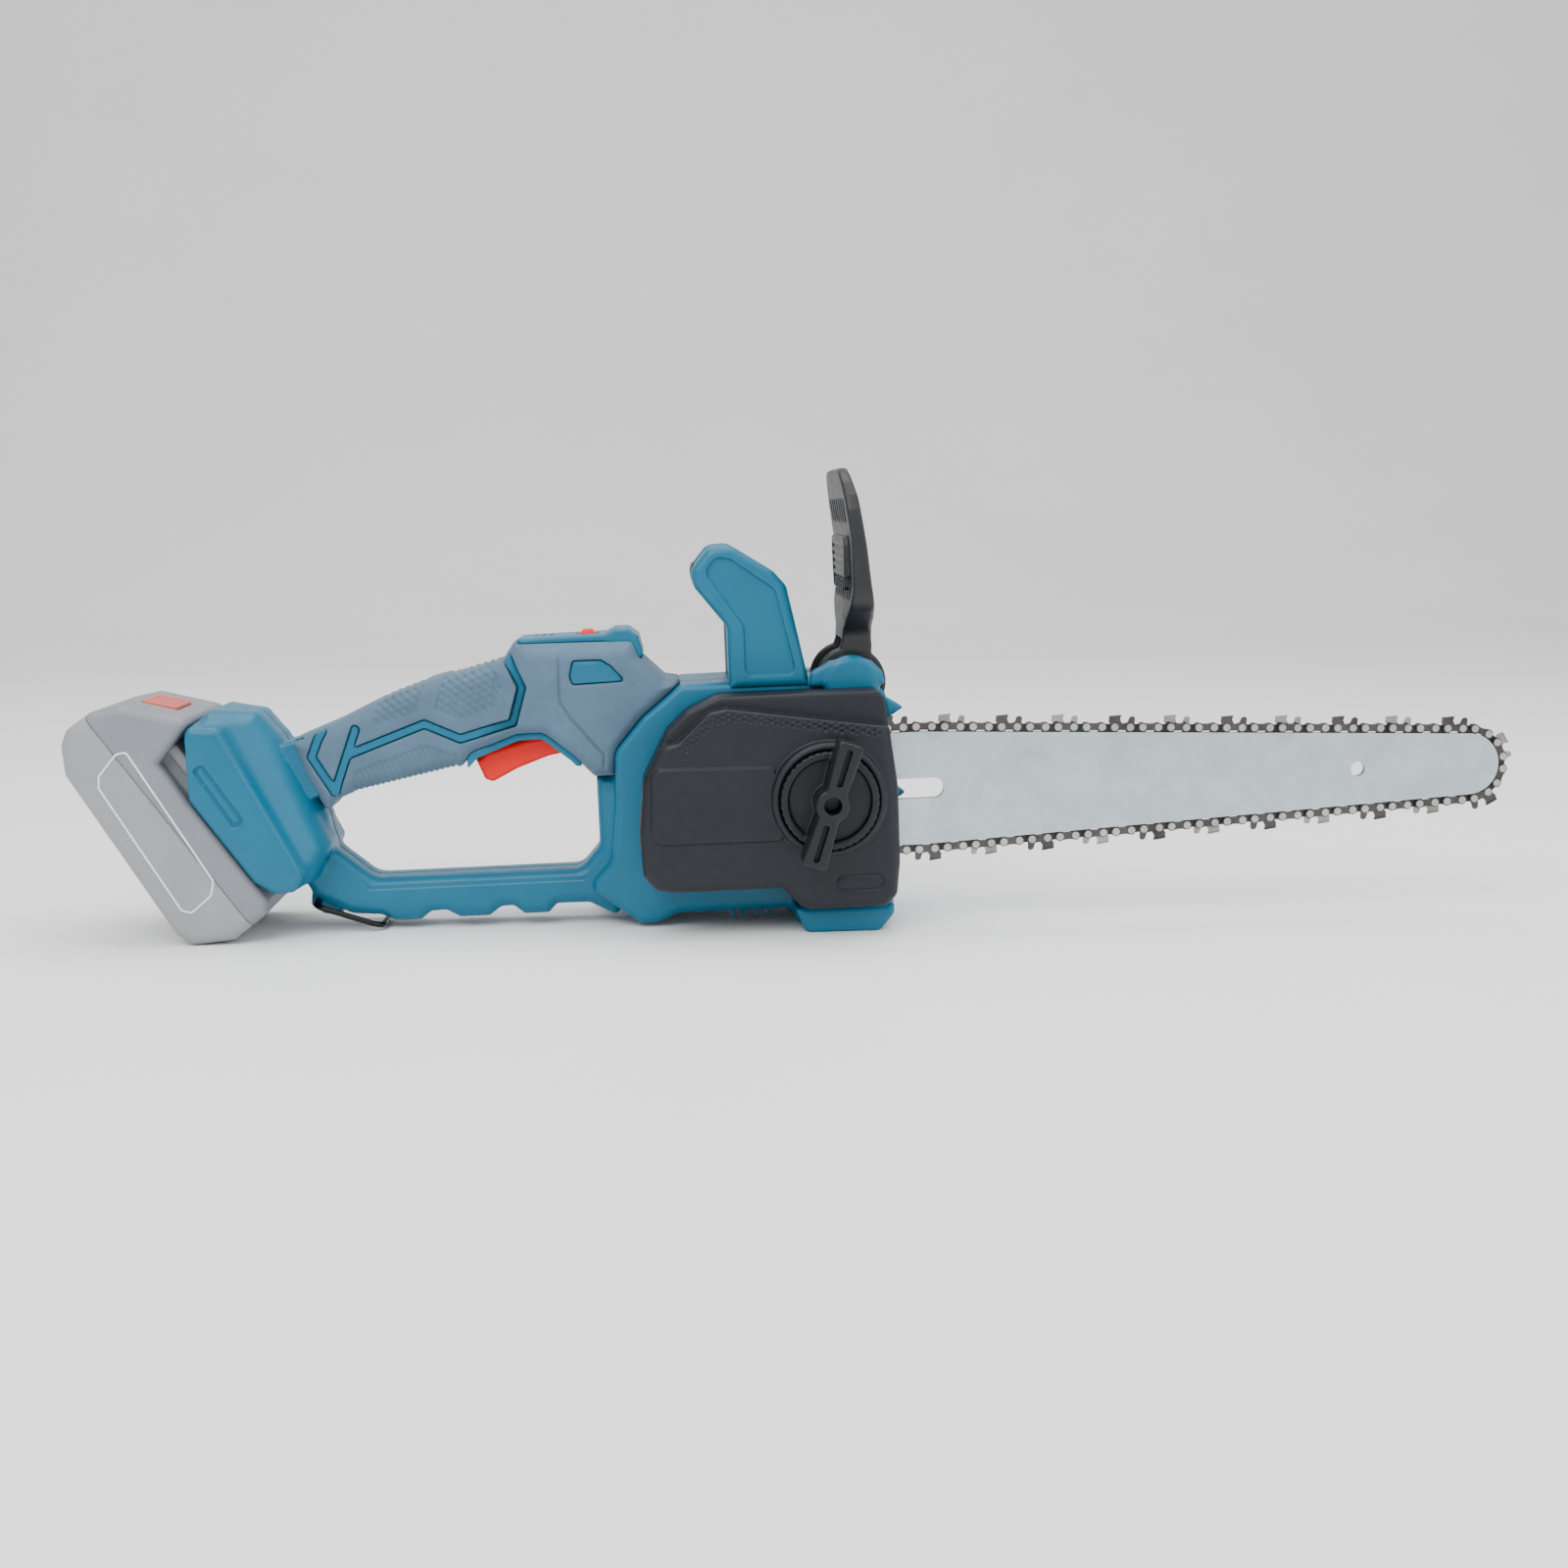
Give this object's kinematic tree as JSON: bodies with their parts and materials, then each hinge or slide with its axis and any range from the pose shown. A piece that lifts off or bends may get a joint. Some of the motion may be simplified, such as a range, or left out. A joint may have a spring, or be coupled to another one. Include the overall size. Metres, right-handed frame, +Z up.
{
  "type": "cordless chainsaw",
  "caption": "Cordless chainsaw with closed rear handle, wrap-over front handle, flip-forward hand guard, laminated bar with cutting chain, sprocket cover and slide-on battery.",
  "frame": {"origin": "middle of the bounding box at the ground, with the saw standing on its front foot and its battery", "axes": "+X towards the bar's nose, -Y towards the sprocket cover, +Z up"},
  "size_m": [0.639, 0.1284, 0.2027],
  "materials": {
    "blue_shell": "fine moulded texture, satin",
    "grey_grip": "soft overmoulded grip, matte",
    "black_rubber": "ribbed rubber sleeve",
    "charcoal_cover": "moulded, satin with a dotted band",
    "black_plastic": "moulded, satin",
    "red_plastic": "smooth moulded",
    "bar_steel": "ground and lacquered",
    "dark_steel": "oiled",
    "chain_dark": "oiled chain steel",
    "chain_steel": "plated chain steel",
    "rivet_steel": "peened",
    "plain_steel": "bright",
    "stator_iron": "laminated",
    "copper": "enamelled wire and contacts",
    "aluminium": "die-cast",
    "clear_tank": "translucent tank plastic",
    "gear_nylon": "nylon",
    "pump_plastic": "moulded",
    "ring_wire": "gloss black wire",
    "battery_plastic": "moulded, satin",
    "cell_sleeve": "shrink sleeve",
    "release_red": "moulded"
  },
  "bodies": {
    "housing": {"housing_right": "blue_shell", "housing_left": "blue_shell", "grip_right": "grey_grip", "grip_left": "grey_grip", "top_cap": "blue_shell", "front_handle_right": "blue_shell", "front_handle_left": "blue_shell", "front_handle_grip": "black_rubber", "housing_screws": "dark_steel", "sprocket_cover": "charcoal_cover", "bar_stud": "plain_steel", "bar_pad": "plain_steel", "chain_drive_links": "chain_dark", "chain_tie_straps": "chain_steel", "chain_cutters_right": "chain_steel", "chain_cutters_left": "chain_steel", "chain_rivets": "rivet_steel", "motor_stator": "stator_iron", "motor_windings": "copper", "motor_end_plate": "aluminium", "shaft_bearings": "plain_steel", "oil_pump": "pump_plastic", "oil_tank": "clear_tank", "guard_pins": "plain_steel", "brake_switch": "black_plastic", "trigger_pin": "plain_steel", "trigger_switch": "black_plastic", "trigger_spring": "plain_steel", "lock_spring": "plain_steel", "controller": "aluminium", "terminal_block": "black_plastic"},
    "drive": {"drive_sprocket": "dark_steel", "sprocket_washer": "plain_steel", "sprocket_clip": "dark_steel", "motor_shaft": "plain_steel", "motor_rotor": "dark_steel", "cooling_fan": "black_plastic", "pump_worm": "dark_steel"},
    "pump_gear": {"pump_gear": "gear_nylon"},
    "bar": {"bar_plate_right": "bar_steel", "bar_core": "dark_steel", "bar_plate_left": "bar_steel", "bar_rivets": "rivet_steel", "nose_bearing": "plain_steel", "tension_block": "dark_steel"},
    "nose_sprocket": {"nose_sprocket": "dark_steel"},
    "tension_screw": {"tension_screw": "plain_steel"},
    "knob": {"cover_knob": "charcoal_cover", "knob_nut": "plain_steel"},
    "oil_cap": {"oil_cap": "black_plastic"},
    "guard": {"hand_guard": "black_plastic"},
    "trigger": {"trigger": "red_plastic"},
    "lock_button": {"lock_button": "red_plastic"},
    "storage_ring": {"storage_ring": "ring_wire"},
    "battery": {"battery_lower_shell": "battery_plastic", "battery_upper_shell": "battery_plastic", "battery_cells": "cell_sleeve", "battery_contacts": "copper", "button_spring": "plain_steel"},
    "battery_button": {"battery_button": "release_red"}
  },
  "joints": [
    {"name": "drive_spin", "type": "hinge", "parent": "housing", "child": "drive", "pos_m": [-0.04299, -0.02025, 0.0598], "axis": [0, 1, 0], "continuous": true, "deforming": ["chain_drive_links", "chain_tie_straps", "chain_cutters_right", "chain_cutters_left", "chain_rivets"]},
    {"name": "pump_gear_spin", "type": "hinge", "parent": "housing", "child": "pump_gear", "pos_m": [-0.04274, -0.00505, 0.0495], "axis": [0.9997, 0, 0.0244], "continuous": true},
    {"name": "bar_tension_slide", "type": "slide", "parent": "housing", "child": "bar", "axis": [0.9997, 0, 0.0244], "range_m": [-0.006, 0]},
    {"name": "nose_spin", "type": "hinge", "parent": "bar", "child": "nose_sprocket", "pos_m": [0.29874, -0.02025, 0.06815], "axis": [0, 1, 0], "continuous": true},
    {"name": "tension_screw_turn", "type": "hinge", "parent": "housing", "child": "tension_screw", "pos_m": [0.01741, -0.01465, 0.04427], "axis": [0.9997, 0, 0.0244], "range_deg": [-2160, 0]},
    {"name": "knob_turn", "type": "hinge", "parent": "housing", "child": "knob", "pos_m": [0.007, -0.04925, 0.06102], "axis": [0, 1, 0], "continuous": true},
    {"name": "oil_cap_turn", "type": "hinge", "parent": "housing", "child": "oil_cap", "pos_m": [0.01378, 0.06075, 0.02918], "axis": [0, 1, 0], "continuous": true},
    {"name": "guard_tilt", "type": "hinge", "parent": "housing", "child": "guard", "pos_m": [0.01964, 0.01075, 0.10844], "axis": [0, 1, 0], "range_deg": [0, 26]},
    {"name": "trigger_pull", "type": "hinge", "parent": "housing", "child": "trigger", "pos_m": [-0.10358, 0.01075, 0.08333], "axis": [0, 1, 0], "range_deg": [0, 10], "stiffness_Nm_per_rad": 0.6, "springref_deg": -6.88, "deforming": ["trigger_spring"]},
    {"name": "lock_button_press", "type": "slide", "parent": "housing", "child": "lock_button", "axis": [0.0244, 0, -0.9997], "range_m": [0, 0.002], "stiffness_N_per_m": 250, "springref_m": -0.002, "deforming": ["lock_spring"]},
    {"name": "storage_ring_swing", "type": "hinge", "parent": "housing", "child": "storage_ring", "pos_m": [-0.22007, 0.01075, 0.01196], "axis": [0, 1, 0], "range_deg": [0, 60]},
    {"name": "battery_slide", "type": "slide", "parent": "housing", "child": "battery", "axis": [-0.5793, 0, 0.8151], "range_m": [0, 0.11]},
    {"name": "battery_button_press", "type": "slide", "parent": "battery", "child": "battery_button", "axis": [-0.2181, 0, -0.9759], "range_m": [0, 0.002], "stiffness_N_per_m": 400, "springref_m": -0.002, "deforming": ["button_spring"]}
  ],
  "couplings": [
    {"joint": "pump_gear_spin", "follows": "drive_spin", "ratio": -0.0625},
    {"joint": "nose_spin", "follows": "drive_spin", "ratio": 1},
    {"joint": "tension_screw_turn", "follows": "bar_tension_slide", "rad_per_m": 6283.2}
  ]
}
